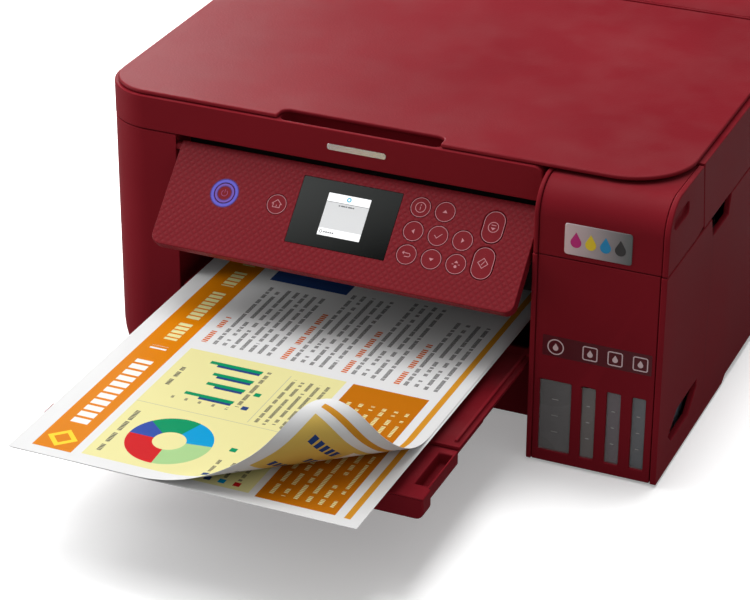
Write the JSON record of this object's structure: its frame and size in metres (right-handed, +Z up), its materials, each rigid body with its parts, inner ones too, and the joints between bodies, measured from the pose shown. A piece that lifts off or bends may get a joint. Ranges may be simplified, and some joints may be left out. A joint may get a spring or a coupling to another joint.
{
  "type": "inkjet printer",
  "caption": "Compact desktop inkjet printer with flatbed scanner, refillable ink tanks behind windows, tilting control panel, pull-out output tray and printed sheets leaving the front.",
  "frame": {"origin": "bottom centre of the whole object box: on the table, midway between left and right sides, and midway between the front edge of the delivered sheets and the rear wall", "axes": "+X to the right seen from the front, +Y to the rear, +Z up; the front faces -Y"},
  "size_m": [0.375, 0.555, 0.187],
  "materials": {
    "case_plastic": "fine-grained matt burgundy moulded plastic",
    "key_plastic": "burgundy keys with thin pale printed outlines",
    "dark_plastic": "matt black moulded plastic",
    "display_gloss": "polished black display window",
    "display_light": "lit pale grey display",
    "glass": "clear float glass",
    "pad_white": "white foam-backed sheet",
    "foot_rubber": "soft black rubber",
    "roller_rubber": "dark grey rubber",
    "steel": "zinc-plated sheet and ground shaft",
    "circuit_board": "green soldered board",
    "paper": "smooth white office paper with colour print",
    "ink_black": "smoked translucent tank of black ink",
    "ink_yellow": "smoked translucent tank of yellow ink",
    "ink_magenta": "smoked translucent tank of magenta ink",
    "ink_cyan": "smoked translucent tank of cyan ink"
  },
  "bodies": {
    "root": {"base_case": "case_plastic", "left_case": "case_plastic", "right_case": "case_plastic", "rear_case": "case_plastic", "front_frame": "dark_plastic", "foot_front_left": "foot_rubber", "foot_front_right": "foot_rubber", "foot_rear_left": "foot_rubber", "foot_rear_right": "foot_rubber", "tank_housing": "case_plastic", "ink_tank_black": "ink_black", "ink_tank_yellow": "ink_yellow", "ink_tank_magenta": "ink_magenta", "ink_tank_cyan": "ink_cyan", "guide_frame": "steel", "platen": "dark_plastic", "capping_station": "dark_plastic", "timing_belt": "roller_rubber", "carriage_motor": "steel", "main_board": "circuit_board", "power_supply": "dark_plastic", "power_inlet": "dark_plastic", "feed_chute": "dark_plastic"},
    "scanner_unit": {"scanner_frame": "case_plastic", "scanner_glass": "glass"},
    "scan_head": {"scan_head": "dark_plastic"},
    "document_cover": {"document_cover": "case_plastic", "cover_pad": "pad_white"},
    "tank_cover": {"tank_cover": "case_plastic"},
    "tank_cap_black": {"tank_cap_black": "ink_black"},
    "tank_cap_yellow": {"tank_cap_yellow": "ink_yellow"},
    "tank_cap_magenta": {"tank_cap_magenta": "ink_magenta"},
    "tank_cap_cyan": {"tank_cap_cyan": "ink_cyan"},
    "control_panel": {"panel_front": "case_plastic", "panel_back": "dark_plastic", "display_bezel": "display_gloss", "display_screen": "display_light"},
    "key_power": {"key_power": "key_plastic"},
    "key_home": {"key_home": "key_plastic"},
    "key_help": {"key_help": "key_plastic"},
    "key_up": {"key_up": "key_plastic"},
    "key_left": {"key_left": "key_plastic"},
    "key_ok": {"key_ok": "key_plastic"},
    "key_right": {"key_right": "key_plastic"},
    "key_back": {"key_back": "key_plastic"},
    "key_down": {"key_down": "key_plastic"},
    "key_options": {"key_options": "key_plastic"},
    "key_stop": {"key_stop": "key_plastic"},
    "key_start": {"key_start": "key_plastic"},
    "output_tray": {"output_tray": "case_plastic"},
    "tray_extension": {"tray_extension": "case_plastic"},
    "printed_pages": {"printed_pages": "paper"},
    "paper_support": {"paper_support": "case_plastic"},
    "support_extension": {"support_extension": "dark_plastic"},
    "edge_guide_left": {"edge_guide_left": "dark_plastic"},
    "edge_guide_right": {"edge_guide_right": "dark_plastic"},
    "pickup_roller": {"pickup_roller": "roller_rubber"},
    "feed_roller": {"feed_roller": "steel"},
    "eject_roller": {"eject_roller": "roller_rubber"},
    "carriage": {"carriage": "dark_plastic"}
  },
  "joints": [
    {"name": "scanner_lift", "type": "hinge", "parent": "root", "child": "scanner_unit", "pos_m": [0, 0.2115, 0.1865], "axis": [-1, 0, 0], "range_deg": [0, 35]},
    {"name": "lid_open", "type": "hinge", "parent": "scanner_unit", "child": "document_cover", "pos_m": [0, 0.2115, 0.1852], "axis": [-1, 0, 0], "range_deg": [0, 70]},
    {"name": "scan_head_slide", "type": "slide", "parent": "scanner_unit", "child": "scan_head", "axis": [1, 0, 0], "range_m": [0, 0.255]},
    {"name": "tank_cover_open", "type": "hinge", "parent": "root", "child": "tank_cover", "pos_m": [0, -0.0135, 0.1773], "axis": [-1, 0, 0], "range_deg": [0, 84]},
    {"name": "cap_black_open", "type": "hinge", "parent": "root", "child": "tank_cap_black", "pos_m": [0, -0.0235, 0.1415], "axis": [-1, 0, 0], "range_deg": [0, 80]},
    {"name": "cap_yellow_open", "type": "hinge", "parent": "root", "child": "tank_cap_yellow", "pos_m": [0, -0.0235, 0.1415], "axis": [-1, 0, 0], "range_deg": [0, 80]},
    {"name": "cap_magenta_open", "type": "hinge", "parent": "root", "child": "tank_cap_magenta", "pos_m": [0, -0.0235, 0.1415], "axis": [-1, 0, 0], "range_deg": [0, 80]},
    {"name": "cap_cyan_open", "type": "hinge", "parent": "root", "child": "tank_cap_cyan", "pos_m": [0, -0.0235, 0.1415], "axis": [-1, 0, 0], "range_deg": [0, 80]},
    {"name": "panel_tilt", "type": "hinge", "parent": "root", "child": "control_panel", "pos_m": [0, -0.0475, 0.15376], "axis": [-1, 0, 0], "range_deg": [-45, 15]},
    {"name": "press_power", "type": "slide", "parent": "control_panel", "child": "key_power", "axis": [0, 0.7071, -0.7071], "range_m": [0, 0.0008], "stiffness_N_per_m": 300},
    {"name": "press_home", "type": "slide", "parent": "control_panel", "child": "key_home", "axis": [0, 0.7071, -0.7071], "range_m": [0, 0.0008], "stiffness_N_per_m": 300},
    {"name": "press_help", "type": "slide", "parent": "control_panel", "child": "key_help", "axis": [0, 0.7071, -0.7071], "range_m": [0, 0.0008], "stiffness_N_per_m": 300},
    {"name": "press_up", "type": "slide", "parent": "control_panel", "child": "key_up", "axis": [0, 0.7071, -0.7071], "range_m": [0, 0.0008], "stiffness_N_per_m": 300},
    {"name": "press_left", "type": "slide", "parent": "control_panel", "child": "key_left", "axis": [0, 0.7071, -0.7071], "range_m": [0, 0.0008], "stiffness_N_per_m": 300},
    {"name": "press_ok", "type": "slide", "parent": "control_panel", "child": "key_ok", "axis": [0, 0.7071, -0.7071], "range_m": [0, 0.0008], "stiffness_N_per_m": 300},
    {"name": "press_right", "type": "slide", "parent": "control_panel", "child": "key_right", "axis": [0, 0.7071, -0.7071], "range_m": [0, 0.0008], "stiffness_N_per_m": 300},
    {"name": "press_back", "type": "slide", "parent": "control_panel", "child": "key_back", "axis": [0, 0.7071, -0.7071], "range_m": [0, 0.0008], "stiffness_N_per_m": 300},
    {"name": "press_down", "type": "slide", "parent": "control_panel", "child": "key_down", "axis": [0, 0.7071, -0.7071], "range_m": [0, 0.0008], "stiffness_N_per_m": 300},
    {"name": "press_options", "type": "slide", "parent": "control_panel", "child": "key_options", "axis": [0, 0.7071, -0.7071], "range_m": [0, 0.0008], "stiffness_N_per_m": 300},
    {"name": "press_stop", "type": "slide", "parent": "control_panel", "child": "key_stop", "axis": [0, 0.7071, -0.7071], "range_m": [0, 0.0008], "stiffness_N_per_m": 300},
    {"name": "press_start", "type": "slide", "parent": "control_panel", "child": "key_start", "axis": [0, 0.7071, -0.7071], "range_m": [0, 0.0008], "stiffness_N_per_m": 300},
    {"name": "tray_slide", "type": "slide", "parent": "root", "child": "output_tray", "axis": [0, 1, 0], "range_m": [0, 0.13]},
    {"name": "extension_slide", "type": "slide", "parent": "output_tray", "child": "tray_extension", "axis": [0, 1, 0], "range_m": [0, 0.044]},
    {"name": "page_feed", "type": "slide", "parent": "root", "child": "printed_pages", "axis": [0, -1, 0], "range_m": [-0.06, 0.04]},
    {"name": "support_open", "type": "hinge", "parent": "root", "child": "paper_support", "pos_m": [0, 0.271, 0.1854], "axis": [-1, 0, 0], "range_deg": [0, 115]},
    {"name": "support_slide", "type": "slide", "parent": "paper_support", "child": "support_extension", "axis": [0, -1, 0], "range_m": [0, 0.045]},
    {"name": "guide_left_slide", "type": "slide", "parent": "root", "child": "edge_guide_left", "axis": [1, 0, 0], "range_m": [0, 0.053]},
    {"name": "guide_right_slide", "type": "slide", "parent": "root", "child": "edge_guide_right", "axis": [1, 0, 0], "range_m": [-0.053, 0]},
    {"name": "pickup_spin", "type": "hinge", "parent": "root", "child": "pickup_roller", "pos_m": [0, 0.20751, 0.10083], "axis": [1, 0, 0], "continuous": true},
    {"name": "feed_spin", "type": "hinge", "parent": "root", "child": "feed_roller", "pos_m": [0, 0.0855, 0.0608], "axis": [1, 0, 0], "continuous": true},
    {"name": "eject_spin", "type": "hinge", "parent": "root", "child": "eject_roller", "pos_m": [0, 0.0055, 0.0647], "axis": [1, 0, 0], "continuous": true},
    {"name": "carriage_slide", "type": "slide", "parent": "root", "child": "carriage", "axis": [1, 0, 0], "range_m": [-0.285, 0]}
  ],
  "couplings": [
    {"joint": "tank_cover_open", "follows": "scanner_lift", "ratio": 2.4},
    {"joint": "support_slide", "follows": "support_open", "m_per_rad": 0.0224},
    {"joint": "guide_right_slide", "follows": "guide_left_slide", "ratio": -1},
    {"joint": "eject_spin", "follows": "feed_spin", "ratio": 2.8571}
  ]
}
